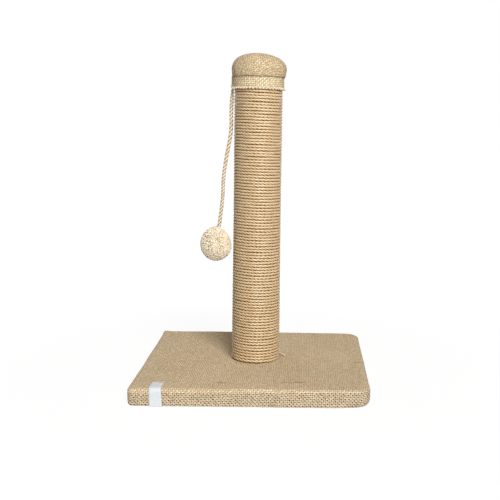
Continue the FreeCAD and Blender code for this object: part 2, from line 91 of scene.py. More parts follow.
def add_line(curve, kind, points, radii=None, tilts=None):
    """A line through points, or with them as its control points, as one more spline of a curve."""
    spline = curve.data.splines.new(kind)
    spline.points.add(len(points) - 1)
    for i, (control, point) in enumerate(zip(spline.points, points)):
        control.co = (*point, 1)
        control.radius = radii[i] if radii else 1.0
        control.tilt = tilts[i] if tilts else 0.0
    if kind == "NURBS":
        spline.order_u = 3
        spline.use_endpoint_u = True
    return spline


def meshed(curve):
    """The mesh of a curve, which is used up."""
    bpy.context.view_layer.update()
    mesh = bpy.data.meshes.new_from_object(curve.evaluated_get(bpy.context.evaluated_depsgraph_get()))
    bpy.data.objects.remove(curve)
    return mesh


def smooth_line(points, steps):
    """Close points along the smooth line that has the given points as its control points."""
    line = curve_object("line")
    line.data.resolution_u = steps
    add_line(line, "NURBS", points)
    return [vertex.co.copy() for vertex in meshed(line).vertices]


# The studio: a white sweep that keeps the base's soft shadow, one large soft lamp in front and above, a weak
# one overhead, and a dim warm room.
class Signal:
    """An output of a shader node. Arithmetic on signals adds Math nodes to their material."""

    def __init__(self, finish, socket):
        self.finish = finish
        self.socket = socket

    def maths(self, operation, *others):
        return self.finish.maths(operation, self, *others)

    def __add__(self, other):
        return self.maths("ADD", other)

    __radd__ = __add__

    def __sub__(self, other):
        return self.maths("SUBTRACT", other)

    def __rsub__(self, other):
        return self.finish.maths("SUBTRACT", other, self)

    def __mul__(self, other):
        return self.maths("MULTIPLY", other)

    __rmul__ = __mul__

    def __truediv__(self, other):
        return self.maths("DIVIDE", other)

    def __gt__(self, other):
        return self.maths("GREATER_THAN", other)


class Finish:
    """The shader of a material or of the world, with one method that adds a node of any kind."""

    def __init__(self, owner):
        owner.use_nodes = True
        self.owner = owner
        self.nodes = owner.node_tree.nodes
        self.links = owner.node_tree.links
        self.shader = self.nodes.get("Principled BSDF")

    def node(self, kind, settings=None, inputs=None, out=0):
        made = self.nodes.new(kind)
        for name, value in (settings or {}).items():
            setattr(made, name, value)
        self.feed(made, inputs or {})
        return Signal(self, made.outputs[out])

    def feed(self, node, inputs):
        for key, value in inputs.items():
            if isinstance(value, Signal):
                self.links.new(value.socket, node.inputs[key])
            else:
                node.inputs[key].default_value = value

    def surface(self, **inputs):
        """Set the shader's sockets, named with _ for a space."""
        self.feed(self.shader, {name.replace("_", " "): value for name, value in inputs.items()})

    def maths(self, operation, *values):
        return self.node("ShaderNodeMath", {"operation": operation}, dict(enumerate(values)))

    def mix(self, share, first, second):
        """A colour between two, by a share from 0 to 1."""
        return self.node("ShaderNodeMix", {"data_type": "RGBA"}, {0: share, 6: first, 7: second}, out=2)

    def shaded(self, tone, share):
        """A colour made lighter or darker by a factor."""
        grey = self.node("ShaderNodeCombineColor", {}, {0: share, 1: share, 2: share})
        settings = {"data_type": "RGBA", "blend_type": "MULTIPLY"}
        return self.node("ShaderNodeMix", settings, {0: 1.0, 6: tone, 7: grey}, out=2)

    def smooth(self, value, low, high):
        """From 0 to 1 as a value goes from low to high."""
        settings = {"interpolation_type": "SMOOTHSTEP"}
        return self.node("ShaderNodeMapRange", settings, {0: value, 1: low, 2: high, 3: 0.0, 4: 1.0})

    def place(self):
        """The place on the piece, in metres."""
        return self.node("ShaderNodeTexCoord", out=3)

    def part(self, vector, axis):
        """One of a vector's three numbers."""
        return self.node("ShaderNodeSeparateXYZ", {}, {0: vector}, out=axis)

    def stretched(self, vector, factors):
        """A vector with each of its numbers multiplied by its own factor."""
        return self.node("ShaderNodeVectorMath", {"operation": "MULTIPLY"}, {0: vector, 1: factors})

    def length(self, vector):
        return self.node("ShaderNodeVectorMath", {"operation": "LENGTH"}, {0: vector}, out=1)

    def blotches(self, where, scale, detail=2.0):
        """Soft random values about 0.5, with a scale of so many to the metre."""
        return self.node("ShaderNodeTexNoise", {}, {"Vector": where, "Scale": scale, "Detail": detail})

    def dice(self, number):
        """A random value from 0 to 1 for each number."""
        return self.node("ShaderNodeTexWhiteNoise", {"noise_dimensions": "1D"}, {"W": number})

    def bump(self, height, depth, strength=1.0):
        return self.node("ShaderNodeBump", {}, {"Height": height, "Distance": depth, "Strength": strength})

    def looked_at(self):
        """1 where the camera, a mirror or glass looks, and 0 for the light that is given off."""
        rays = [self.node("ShaderNodeLightPath", out=ray) for ray in (0, 3, 6)]
        return rays[0].maths("MAXIMUM", rays[1]).maths("MAXIMUM", rays[2])


def colour(red, green, blue):
    return (red, green, blue, 1.0)


white = colour(1, 1, 1)


def soft_lamp(name, place, aim, width, watts):
    """A square lamp of a width, turned to a point."""
    data = bpy.data.lights.new(name, "AREA")
    data.size = width
    data.energy = watts
    lamp = bpy.data.objects.new(name, data)
    turn = (Vector(aim) - Vector(place)).to_track_quat("-Z", "Y")
    lamp.matrix_world = Matrix.Translation(place) @ turn.to_matrix().to_4x4()
    bpy.context.scene.collection.objects.link(lamp)


post_middle = (0, 0, 0.2)
soft_lamp("key_lamp", place=(0.9, -2.8, 2.0), aim=post_middle, width=1.2, watts=116.0)
soft_lamp("top_lamp", place=(-0.6, 0.6, 1.8), aim=post_middle, width=1.0, watts=6.0)

surround = Finish(bpy.data.worlds.new("surround"))
bpy.context.scene.world = surround.owner
dim_room = 0.1
seen = surround.looked_at()
room_colour = surround.mix(seen, colour(1.0, 0.84, 0.66), white)
room_light = dim_room + seen * (1.0 - dim_room)
surround.feed(surround.nodes["Background"], {"Color": room_colour, "Strength": room_light})

sweep_reach = 6.0
# The sweep lies just below the base's underside, so that the two faces don't meet.
sweep_drop = 0.2 * mm
# Its glow as the camera sees it, and the share that is left of it in the base's shadow
sweep_glow = 1.05
shadow_share = 0.88
shadow_start = 0.25
shadow_end = 0.8
floor_mesh = bmesh.new()
bmesh.ops.create_grid(floor_mesh, x_segments=1, y_segments=1, size=sweep_reach)
bmesh.ops.translate(floor_mesh, vec=(0, 0, -sweep_drop), verts=floor_mesh.verts)
floor_data = bpy.data.meshes.new("floor")
floor_mesh.to_mesh(floor_data)
floor_mesh.free()
floor = bpy.data.objects.new("floor", floor_data)
bpy.context.scene.collection.objects.link(floor)
paper = Finish(bpy.data.materials.new("white_paper"))
paper.surface(Base_Color=colour(0.78, 0.78, 0.78), Roughness=0.9, Specular_IOR_Level=0.1)
glow = paper.node("ShaderNodeEmission", {}, {"Color": white, "Strength": sweep_glow})
beyond_shadow = paper.smooth(paper.length(paper.place()), shadow_start, shadow_end)
lifted = paper.looked_at() * (shadow_share + (1.0 - shadow_share) * beyond_shadow)
paper_shader = Signal(paper, paper.shader.outputs[0])
both = paper.node("ShaderNodeMixShader", {}, {0: lifted, 1: paper_shader, 2: glow})
paper.feed(paper.nodes["Material Output"], {"Surface": both})
floor_data.materials.append(paper.owner)


# The base's board: 20 mm fibreboard, sawn to size. Its raw underside shows inside the cloth's hem, with the
# sunk hole for the post's bolt.
def dress(node, finish):
    """Give a piece of the frame its finish."""
    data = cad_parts[node].data
    data.materials.clear()
    data.materials.append(finish.owner)


fibreboard = Finish(bpy.data.materials.new("raw_fibreboard"))
board_specks = fibreboard.blotches(fibreboard.place(), 900.0, 4.0)
board_clouds = fibreboard.blotches(fibreboard.place(), 25.0, 3.0)
board_tone = fibreboard.mix(board_clouds, colour(0.50, 0.35, 0.21), colour(0.62, 0.46, 0.29))
fibreboard.surface(
    Base_Color=fibreboard.shaded(board_tone, 0.8 + 0.4 * board_specks),
    Roughness=0.75 + 0.15 * board_specks,
    Normal=fibreboard.bump(board_specks, 0.15 * mm),
)
dress("base_board", fibreboard)


# The base's cover: one square of coarse jute cloth, drawn over the board, pleated at its left corners, eased
# round the right ones, folded under all four sides and stapled there.
board_side = 300.0 * mm
half_side = board_side / 2
base_height = 22.4 * mm
cloth_thickness = 1.2 * mm
hem_width = 35.0 * mm
left_corner = 9.0 * mm
right_corner = 22.0 * mm
fold_radius = 4.4 * mm
lower_radius = 1.6 * mm
cloth_cell = 5.0 * mm
side_rows = 7


def piece_of(name, mesh, body, finish):
    """A mesh as a smooth piece that rides on a body."""
    mesh.name = name
    mesh.materials.clear()
    mesh.materials.append(finish.owner)
    for face in mesh.polygons:
        face.use_smooth = True
    piece = bpy.data.objects.new(name, mesh)
    bpy.context.scene.collection.objects.link(piece)
    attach(piece, body)
    return piece


def new_piece(name, form, body, finish):
    """A form as a piece that rides on a body."""
    mesh = bpy.data.meshes.new(name)
    form.to_mesh(mesh)
    form.free()
    return piece_of(name, mesh, body, finish)


def solid_cloth(piece, thickness, offset):
    """Give a sheet its thickness, inwards or both ways."""
    modifier = piece.modifiers.new("thickness", "SOLIDIFY")
    modifier.thickness = thickness
    modifier.offset = offset


def bevelled(form, edges, width, segments):
    bmesh.ops.bevel(
        form, geom=edges, offset=width, offset_type="OFFSET", segments=segments, profile=0.5, affect="EDGES",
        material=-1, clamp_overlap=True,
    )


def edges_where(form, test):
    """The edges of which both ends pass a test."""
    return [edge for edge in form.edges if all(test(vertex.co) for vertex in edge.verts)]


def cut_across(form, places, axis):
    """Cut every face at places along an axis, so that the cloth can ripple."""
    for place in places:
        everything = form.verts[:] + form.edges[:] + form.faces[:]
        bmesh.ops.bisect_plane(form, geom=everything, plane_co=axis * place, plane_no=axis, dist=1e-6)


def round_the_plan(place, side):
    """How far a place on the base's side lies from the middle of its front, measured round the corners."""
    x, y = abs(place.x), place.y
    corner = right_corner if side > 0 else left_corner
    straight = half_side - corner
    if x <= straight:
        along = x if y < 0 else 3 * straight + corner * math.pi + straight - x
    elif abs(y) <= straight:
        along = straight + corner * math.pi / 2 + y + straight
    elif y < 0:
        along = straight + corner * math.atan2(x - straight, -y - straight)
    else:
        along = 3 * straight + corner * (math.pi / 2 + math.atan2(y - straight, x - straight))
    return side * along


cover = bmesh.new()
middle_height = base_height / 2
bmesh.ops.create_cube(cover, size=1.0)
bmesh.ops.scale(cover, vec=(board_side, board_side, base_height), verts=cover.verts)
bmesh.ops.translate(cover, vec=(0, 0, middle_height), verts=cover.verts)
for side, corner, segments in ((-1, left_corner, 6), (1, right_corner, 12)):
    on_side = edges_where(cover, lambda co: co.x * side > 0)
    upright = [edge for edge in on_side if abs(edge.verts[0].co.z - edge.verts[1].co.z) > middle_height]
    bevelled(cover, upright, corner, segments)
bevelled(cover, edges_where(cover, lambda co: co.z > middle_height), fold_radius, 5)
bevelled(cover, edges_where(cover, lambda co: co.z < middle_height), lower_radius, 3)
cell_count = round(half_side / cloth_cell)
for axis in (Vector((1, 0, 0)), Vector((0, 1, 0))):
    cut_across(cover, [i * cloth_cell for i in range(1 - cell_count, cell_count)], axis)
cut_across(cover, [base_height * i / side_rows for i in range(1, side_rows - 1)], Vector((0, 0, 1)))
hem_reach = half_side - hem_width
inside_hem = []
for face in cover.faces:
    middle = face.calc_center_median()
    if face.normal.z < -0.9 and max(abs(middle.x), abs(middle.y)) < hem_reach:
        inside_hem.append(face)
bmesh.ops.delete(cover, geom=inside_hem, context="FACES")
# The weave lies flat on the top and the hem, and runs round the sides.
weave_map = cover.loops.layers.uv.new("weave")
for face in cover.faces:
    level = abs(face.normal.z) > 0.75
    side = 1 if face.calc_center_median().x > 0 else -1
    for loop in face.loops:
        place = loop.vert.co
        loop[weave_map].uv = (place.x, place.y) if level else (round_the_plan(place, side), place.z)
# The folds at the left corners, by their middle and how far they stand out
corner_pleats = [
    (Vector((-half_side, -half_side, base_height - 3 * mm)), 1.5 * mm),
    (Vector((-half_side, -half_side, base_height * 0.4)), 1.4 * mm),
    (Vector((-half_side, half_side, base_height)), 2.2 * mm),
    (Vector((-half_side, half_side - 10 * mm, base_height)), 1.2 * mm),
]
pleat_reach = 11 * mm
tuck_depth = 3.0 * mm
tuck_height = 7 * mm
tuck_reach = 25 * mm
right_straight = half_side - right_corner
# The cloth is looser on the right, and more so towards the back: a share of the way out from the middle.
front_slack = 0.008
slack_growth = 0.011


def tucked_in(place):
    """How far the cloth of the right corners is tucked in, which grows towards the floor."""
    beyond = Vector((max(0.0, place.x - right_straight), max(0.0, abs(place.y) - right_straight), 0))
    short = max(right_straight - place.x, right_straight - abs(place.y), 0.0)
    depth = tuck_depth * max(0.0, 1.0 - place.z / tuck_height) ** 2 * max(0.0, 1.0 - short / tuck_reach)
    inwards = beyond.normalized() * (depth * min(1.0, beyond.length / right_corner) ** 2)
    return Vector((inwards.x, math.copysign(inwards.y, place.y), 0))


def swell_at(place):
    """How far the cloth stands out at a place: low waves, and the folds at the left corners."""
    swell = 0.5 * mm * noise.noise(place * 22.0) + 0.2 * mm * noise.noise(place * 95.0)
    for centre, rise in corner_pleats:
        near = max(0.0, 1.0 - (place - centre).length / pleat_reach)
        swell += rise * near * near * (3 - 2 * near)
    return swell


for vertex in cover.verts:
    place = vertex.co.copy()
    vertex.co -= tucked_in(place)
    slack = front_slack + slack_growth * (place.y + half_side) / board_side
    vertex.co.x += max(0.0, place.x) * slack
    if place.z > lower_radius:
        vertex.co += vertex.normal * swell_at(place)


# Below these heights the cloth on the base's sides is drawn open. They lie higher on the right.
open_low = 17.4 * mm
open_high = 19.6 * mm
open_slope = 0.016


def thread_round(beside, width):
    """The round top of a thread across its width, and nothing beyond it."""
    share = 2.0 * beside / width
    return (1.0 - share * share).maths("MAXIMUM", 0.0).maths("SQRT")


def pulled_gap(finish, wander, start, end, across, slope):
    """1 along the thin gap that a pulled thread leaves in the base's top, where shade is painted, and 0
    elsewhere.
    """
    place = finish.place()
    x = finish.part(place, 0)
    beside = (finish.part(place, 1) - across - slope * (x - start) + 2.0 * mm * wander).maths("ABSOLUTE")
    fade = 3 * mm
    begun = finish.smooth(x, start, start + fade)
    ended = finish.smooth(x, end - fade, end)
    on_top = finish.part(place, 2) > 15 * mm
    return begun * (1.0 - ended) * on_top * (1.0 - finish.smooth(beside, 0.5 * mm, 1.1 * mm))


# The gap colour and the darkening of the low threads are painted shade.
def jute_cloth(name, pitch, fullness, pale, tan, gap, drawn_open=0.0, streaks=()):
    """Plain woven jute: slubby round threads that pass over and under each other, with gaps between them."""
    finish = Finish(bpy.data.materials.new(name))
    place = finish.place()
    flat = finish.node("ShaderNodeUVMap", {"uv_map": "weave"})
    wander = finish.blotches(place, 55.0, 4.0) - 0.5
    stray = finish.blotches(finish.stretched(place, (1.0, 1.3, 0.8)), 70.0, 4.0) - 0.5
    # Counted in threads, and not quite straight
    across = finish.part(flat, 0) / pitch + 1.5 * wander
    up = finish.part(flat, 1) / pitch + 1.5 * stray
    column = across.maths("FLOOR")
    row = up.maths("FLOOR")
    beside_column = across - column - 0.5
    beside_row = up - row - 0.5
    upright_dice = finish.dice(column + 0.5)
    level_dice = finish.dice(row + 1000.5)
    crossing_dice = finish.dice(column + 61.7 * row)
    above_line = finish.part(place, 2) - open_slope * finish.part(place, 0)
    opened = 1.0 - finish.smooth(above_line, open_low, open_high)
    width = fullness - drawn_open * opened
    over = 1.0 - 2.0 * (column + row).maths("FLOORED_MODULO", 2.0)
    crown_column = (beside_column * math.pi).maths("COSINE")
    crown_row = (beside_row * math.pi).maths("COSINE")
    upright = thread_round(beside_column, width - 0.24 * opened + 0.2 * (crossing_dice - 0.5))
    level = thread_round(beside_row, width + 0.1 * opened + 0.2 * (0.5 - crossing_dice))
    upright = upright * (0.58 + 0.42 * over * crown_row)
    level = level * (0.58 - 0.42 * over * crown_column)
    height = upright.maths("MAXIMUM", level)
    thread_dice = level_dice + (upright > level) * (upright_dice - level_dice)
    slubs = finish.blotches(place, 420.0, 3.0)
    clouds = finish.blotches(place, 14.0, 3.0)
    grain = finish.blotches(finish.stretched(place, (1.0, 0.35, 1.0)), 480.0, 2.0)
    threads = 0.15 * thread_dice + 0.3 * crossing_dice
    # The base's drawn-open sides are paler, as painted light on them.
    tone = threads + 0.55 * slubs + 0.3 * (clouds - 0.5) + 0.5 * opened + 1.1 * (grain - 0.5)
    # Painted shade on the low threads, and painted light on the threads where they cross over.
    # Where the cloth lies close, its threads are pressed flat and show less.
    painted_thread_shade = 0.64 + (0.31 + 0.19 * opened) * height + 0.2 * over * crown_column * crown_row
    yarn = finish.shaded(finish.mix(finish.smooth(tone, 0.22, 0.78), tan, pale), painted_thread_shade)
    # Painted shade in the gaps between the threads, every second one deep and each of its own darkness.
    corner_column = (across + 0.5).maths("FLOOR")
    corner_row = (up + 0.5).maths("FLOOR")
    slot = (corner_column + corner_row).maths("FLOORED_MODULO", 2.0)
    slot_dice = finish.dice(corner_column + 47.3 * corner_row + 0.4)
    depth = (0.65 * slot + 0.55 * slot_dice).maths("MINIMUM", 1.0)
    bare = (1.0 - finish.smooth(height, 0.1, 0.65 + 0.35 * opened)) * depth
    # The gaps that the pulled threads leave get painted shade too.
    for streak in streaks:
        bare = bare.maths("MAXIMUM", 0.75 * pulled_gap(finish, wander, *streak))
    finish.surface(
        Base_Color=finish.mix(bare, yarn, gap),
        Roughness=0.82 + 0.12 * slubs,
        Normal=finish.bump(height + 0.3 * slubs, 0.8 * mm),
        Specular_IOR_Level=0.25,
    )
    return finish


# Painted shade fills the gaps that these pulled threads leave.
# The pulled threads on the base's top: where each starts and ends across it, how far back, and its slope
pulled_threads = [
    (-45 * mm, -29 * mm, -121 * mm, 0.0),
    (37 * mm, 62 * mm, -117.5 * mm, 0.0),
    (55 * mm, 72 * mm, -115 * mm, -0.2),
    (70 * mm, 88 * mm, 142 * mm, -0.35),
    (136 * mm, 150 * mm, -19 * mm, 0.15),
]
# Its gap colour is painted shade between the threads.
base_jute = jute_cloth(
    "base_jute", pitch=2.35 * mm, fullness=0.91, pale=colour(1.0, 0.82, 0.56), tan=colour(0.79, 0.59, 0.35),
    gap=colour(0.08, 0.035, 0.01), drawn_open=0.33, streaks=pulled_threads,
)
cover_piece = new_piece("base_cloth", cover, "post", base_jute)
solid_cloth(cover_piece, cloth_thickness, -1.0)
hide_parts("base_cover")


# The staples: bent from zinc coated wire and driven in to their crowns. They go through the cloth's hem into
# the board, through the cap's skirt into the tube, and through the tube's wall into the plugs.
wire_steel = Finish(bpy.data.materials.new("staple_wire"))
wire_grain = wire_steel.blotches(wire_steel.place(), 2500.0, 2.0)
wire_steel.surface(
    Base_Color=wire_steel.mix(wire_grain, colour(0.52, 0.52, 0.53), colour(0.70, 0.70, 0.70)),
    Metallic=1.0,
    Roughness=0.28 + 0.25 * wire_grain,
)
for group in ("cover_staples", "cap_staples", "plug_staples"):
    dress(group, wire_steel)


# The ribbon: a bare satin tape sewn in over the base's front edge, cut slanting at its upper end. It hangs
# down to the floor, with its foot kicked out a little, and narrows towards the top.
ribbon_width = 15 * mm
ribbon_map_length = 50 * mm
ribbon_thickness = 0.35 * mm
ribbon_clear = 0.35 * mm
ribbon_foot = 0.2 * mm
cockle_rise = 0.3 * mm
kick_out = 0.9 * mm
kick_height = 7 * mm
# Its middle and its width at the foot, at the fold and at the upper end
ribbon_places = [(-114.8, 15.8), (-116.0, 15.2), (-115.0, 14.1)]
ribbon_reach = [27.0 * mm, 22.5 * mm]
bend_radius = fold_radius + ribbon_clear
bend_start = base_height - fold_radius
bend_length = bend_radius * math.pi / 2


def over_the_edge(along):
    """Depth and height of the ribbon's line, by the distance along it from the floor."""
    if along < bend_start:
        return -half_side - ribbon_clear, along
    turn = min(along - bend_start, bend_length) / bend_radius
    beyond = max(0.0, along - bend_start - bend_length)
    depth = -half_side + fold_radius - bend_radius * math.cos(turn) + beyond
    return depth, bend_start + bend_radius * math.sin(turn)


ribbon = bmesh.new()
bmesh.ops.create_grid(ribbon, x_segments=8, y_segments=44, size=0.5)
ribbon_map = ribbon.loops.layers.uv.new("weave")
for face in ribbon.faces:
    for loop in face.loops:
        loop[ribbon_map].uv = (loop.vert.co.x * ribbon_width, loop.vert.co.y * ribbon_map_length)
for vertex in ribbon.verts:
    across = vertex.co.x
    share = vertex.co.y + 0.5
    reach = ribbon_reach[0] + (ribbon_reach[1] - ribbon_reach[0]) * (across + 0.5)
    total = bend_start + bend_length + reach - fold_radius
    along = ribbon_foot + (total - ribbon_foot) * share
    leg = 2 * share if share < 0.5 else 2 * share - 1
    lower, upper = ribbon_places[:2] if share < 0.5 else ribbon_places[1:]
    middle, width = [(a + (b - a) * leg) * mm for a, b in zip(lower, upper)]
    depth, height = over_the_edge(along)
    cockle = cockle_rise * (1 + noise.noise(Vector((across * 2.2, share * 7, 4))))
    cockle += kick_out * max(0.0, 1.0 - along / kick_height)
    away = Vector((0, -1, 0)) if along < bend_start else Vector((0, 0, 1))
    vertex.co = Vector((middle + across * width, depth, height)) + away * cockle
bmesh.ops.recalc_face_normals(ribbon, faces=ribbon.faces)
satin = Finish(bpy.data.materials.new("bare_satin"))
satin_flat = satin.node("ShaderNodeUVMap", {"uv_map": "weave"})
satin_ribs = satin.node("ShaderNodeTexWave", {"bands_direction": "Y"}, {"Vector": satin_flat, "Scale": 900.0})
satin_clouds = satin.blotches(satin.place(), 160.0, 2.0)
satin.surface(
    Base_Color=satin.mix(satin_clouds, colour(0.64, 0.71, 0.75), colour(0.78, 0.81, 0.82)),
    Roughness=0.38 + 0.15 * satin_clouds,
    Normal=satin.bump(satin_ribs, 0.05 * mm, 0.5),
    Sheen_Weight=0.3,
)
ribbon_piece = new_piece("satin_ribbon", ribbon, "post", satin)
solid_cloth(ribbon_piece, ribbon_thickness, 0.0)
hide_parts("tag_ribbon")


# The post's core: a spiral wound cardboard tube with a turned softwood plug in each end, pulled down on the
# base by a zinc plated bolt, a wide washer and a tee nut.
kraft = Finish(bpy.data.materials.new("kraft_board"))
kraft_fibres = kraft.blotches(kraft.stretched(kraft.place(), (1.0, 1.0, 0.25)), 300.0, 4.0)
kraft.surface(
    Base_Color=kraft.mix(kraft_fibres, colour(0.42, 0.31, 0.20), colour(0.56, 0.44, 0.30)),
    Roughness=0.8 + 0.1 * kraft_fibres,
    Normal=kraft.bump(kraft_fibres, 0.1 * mm),
)
dress("post_tube", kraft)
softwood = Finish(bpy.data.materials.new("raw_softwood"))
rings = {"Vector": softwood.place(), "Scale": 90.0, "Distortion": 3.0}
wood_rings = softwood.node("ShaderNodeTexWave", {"wave_type": "RINGS"}, rings)
softwood.surface(
    Base_Color=softwood.mix(wood_rings, colour(0.60, 0.43, 0.25), colour(0.78, 0.62, 0.42)),
    Roughness=0.6 + 0.2 * wood_rings,
    Normal=softwood.bump(wood_rings, 0.1 * mm),
)
for plug in ("bottom_plug", "top_plug"):
    dress(plug, softwood)
zinc = Finish(bpy.data.materials.new("zinc_plate"))
zinc_clouds = zinc.blotches(zinc.place(), 700.0, 3.0)
zinc.surface(
    Base_Color=zinc.mix(zinc_clouds, colour(0.55, 0.56, 0.58), colour(0.72, 0.72, 0.70)),
    Metallic=1.0,
    Roughness=0.3 + 0.25 * zinc_clouds,
)
for steel in ("tee_nut", "post_bolt", "bolt_washer"):
    dress(steel, zinc)


# The winding: 18 m of 4 mm jute rope of three strands, wound side by side on glue from the base to the cap.
# The turns wander a little, as a hand keeps them, and the winding is slightly fuller at its foot.
full_turn = 2 * math.pi
rope_radius = 32.5 * mm
rope_pitch = 4.0 * mm
rope_thick = 3.95 * mm
rope_lay = 16.5 * mm
rope_groove = 0.76
rope_step = 1.8 * mm
rope_foot = base_height + rope_pitch / 2
rope_end = 398.5 * mm - rope_pitch / 2
end_ease = 6 * mm
turn_wander = 0.42 * mm
turn_looseness = 0.16 * mm
fuller_foot = 0.8 * mm
fuller_height = 200 * mm


def twisted_rope(name, points, thick, lay, groove, twist_mode="MINIMUM", radii=None):
    """A mesh of a rope of three twisted strands that follows close points, and its length.

    The groove between two strands lies that share of the radius from the middle."""
    section = curve_object(name + "_section", "2D")
    ridge = 0.32
    ridges = []
    for i in range(3):
        for beside, share in ((-ridge, 1.0), (ridge, 1.0), (full_turn / 6, groove)):
            angle = i * full_turn / 3 + beside
            ridges.append(Vector((math.cos(angle), math.sin(angle), 0)) * thick / 2 * share)
    add_line(section, "POLY", ridges).use_cyclic_u = True
    travelled = [0.0]
    for before, after in zip(points, points[1:]):
        travelled.append(travelled[-1] + (after - before).length)
    rope = curve_object(name)
    rope.data.twist_mode = twist_mode
    rope.data.bevel_mode = "OBJECT"
    rope.data.bevel_object = section
    rope.data.use_fill_caps = True
    # The lay is uneven. A tilt of many turns isn't kept, so each is given within half a turn either way.
    turns = [gone / lay + 0.5 * noise.noise(Vector((gone * 14, 0, 0))) for gone in travelled]
    add_line(rope, "POLY", points, radii, [full_turn * math.remainder(turn, 1.0) for turn in turns])
    mesh = meshed(rope)
    bpy.data.objects.remove(section)
    return mesh, travelled[-1]


wound_angle = full_turn * (rope_end - rope_foot) / rope_pitch
wound_steps = int(wound_angle * rope_radius / rope_step)
wound_points = []
for i in range(wound_steps + 1):
    angle = wound_angle * i / wound_steps
    around = Vector((math.cos(angle), -math.sin(angle), 0))
    climb = rope_foot + rope_pitch * angle / full_turn
    ease = min(1.0, (climb - rope_foot) / end_ease, (rope_end - climb) / end_ease)
    wander = noise.noise(around * 1.3 + Vector((0, 0, climb * 240)))
    loose = noise.noise(around * 3.1 + Vector((7, 0, climb * 700)))
    fuller = fuller_foot * max(0.0, 1.0 - (climb - rope_foot) / fuller_height)
    reach = rope_radius - rope_pitch / 2 + turn_looseness * loose + fuller
    wound_points.append(around * reach + Vector((0, 0, climb + turn_wander * wander * ease)))
wound_mesh, wound_length = twisted_rope("wound_rope", wound_points, rope_thick, rope_lay, rope_groove, "Z_UP")


def twisted_jute(name, pale, tan, groove, length, painted_valley_shade=None):
    """Twisted jute yarn: fine fibres along the strands, and painted shade in the grooves between them.

    The shade between a winding's turns is painted, fading to yarn between the given distances from the post's
    middle."""
    finish = Finish(bpy.data.materials.new(name))
    place = finish.place()
    swept = finish.node("ShaderNodeUVMap", {"uv_map": "UVMap"})
    along = finish.part(swept, 0)
    around = finish.part(swept, 1)
    ridge = 0.5 + 0.5 * (around * (3 * full_turn) - full_turn / 6).maths("COSINE")
    fibre_length = 8 * mm
    fibres_around = 20.0
    across_and_along = {0: around * fibres_around, 1: along * (length / fibre_length)}
    run = finish.node("ShaderNodeCombineXYZ", {}, across_and_along)
    plane = {"noise_dimensions": "2D"}
    fibres = finish.node("ShaderNodeTexNoise", plane, {"Vector": run, "Scale": 1.0, "Detail": 3.0})
    patches = finish.blotches(place, 110.0, 3.0)
    tone = 0.5 * fibres + 0.5 * patches
    yarn = finish.mix(finish.smooth(tone, 0.3, 0.7), tan, pale)
    # Painted shade: the groove colour lies in the grooves between the strands.
    twisted = finish.mix(finish.smooth(ridge, 0.0, 0.55), groove, yarn)
    # Painted shade deep between the winding's turns, shifted out where the winding is fuller at its foot.
    if painted_valley_shade:
        climbed = (finish.part(place, 2) - rope_foot) / fuller_height
        fuller = fuller_foot * (1.0 - climbed).maths("MAXIMUM", 0.0)
        out = finish.length(finish.stretched(place, (1.0, 1.0, 0.0))) - fuller
        twisted = finish.mix(finish.smooth(out, *painted_valley_shade), groove, twisted)
    finish.surface(
        Base_Color=twisted,
        Roughness=0.3 + 0.2 * fibres,
        Normal=finish.bump(fibres, 0.3 * mm, 0.6),
        Specular_IOR_Level=1.0,
    )
    return finish


# Its groove colour and the darkening deep between the turns are painted shade.
rope_jute = twisted_jute(
    "rope_jute", pale=colour(0.92, 0.765, 0.49), tan=colour(0.765, 0.535, 0.29),
    groove=colour(0.50, 0.31, 0.14), length=wound_length, painted_valley_shade=(30.4 * mm, 31.6 * mm),
)
rope_piece = piece_of("wound_rope", wound_mesh, "post", rope_jute)
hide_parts("rope_winding")


# The rope's loose ends: a pale strand of the rope sticks out at the foot on the right, and single fibres
# stand off the turns all over, as jute sheds them.
strand_thick = 2.4 * mm
strand_lay = 9 * mm
strand_groove = 0.75
# Its groove colour is painted shade between the strands.
strand_jute = twisted_jute(
    "strand_jute", pale=colour(1.0, 0.94, 0.80), tan=colour(0.95, 0.84, 0.66),
    groove=colour(0.80, 0.66, 0.46), length=10 * mm,
)
strand_places = [(29.5, 17.5, 25.2), (33.0, 15.5, 25.0), (37.0, 11.0, 24.6), (40.5, 7.0, 24.4)]
strand_line = smooth_line([Vector(place) * mm for place in strand_places], 8)
strand_mesh, _ = twisted_rope("rope_end_strand", strand_line, strand_thick, strand_lay, strand_groove)
piece_of("rope_end_strand", strand_mesh, "post", strand_jute)
fibre_radius = 0.08 * mm
fibre_count = 260
random.seed(5)
fibre_curve = curve_object("loose_fibres")
fibre_curve.data.bevel_depth = fibre_radius
fibre_curve.data.bevel_resolution = 0
fibre_curve.data.resolution_u = 3
for i in range(fibre_count):
    angle = random.uniform(0, full_turn)
    out = Vector((math.cos(angle), math.sin(angle), 0))
    side = Vector((-out.y, out.x, 0)) * random.choice((-1, 1))
    root = out * (rope_radius - 0.4 * mm) + Vector((0, 0, random.uniform(rope_foot, rope_end)))
    length = random.uniform(1.5, 4.0) * mm
    droop = Vector((0, 0, random.uniform(-0.6, 0.5)))
    tip = root + (out * random.uniform(0.25, 0.6) + side + droop) * length
    bow = root + (out * 0.35 + side * 0.4) * length
    add_line(fibre_curve, "NURBS", [root, bow, tip], [1.0, 0.9, 0.3])
piece_of("loose_fibres", meshed(fibre_curve), "post", strand_jute)


# The cap's wadding: a crowned pad of polyester fibre that lies on the tube's end. The cap's cloth hides it
# and holds it down.
pad_spokes = 64


def spun(profile, spokes):
    """A round form about the post's axis, from its profile in millimetres."""
    form = bmesh.new()
    corners = [form.verts.new((across * mm, 0, height * mm)) for across, height in profile]
    for lower, upper in zip(corners, corners[1:]):
        form.edges.new((lower, upper))
    bmesh.ops.spin(
        form, geom=form.verts[:] + form.edges[:], cent=(0, 0, 0), axis=(0, 0, 1), dvec=(0, 0, 0),
        angle=full_turn, steps=spokes, use_merge=True, use_normal_flip=False, use_duplicate=False,
    )
    bmesh.ops.remove_doubles(form, verts=form.verts, dist=1e-6)
    bmesh.ops.recalc_face_normals(form, faces=form.faces)
    return form


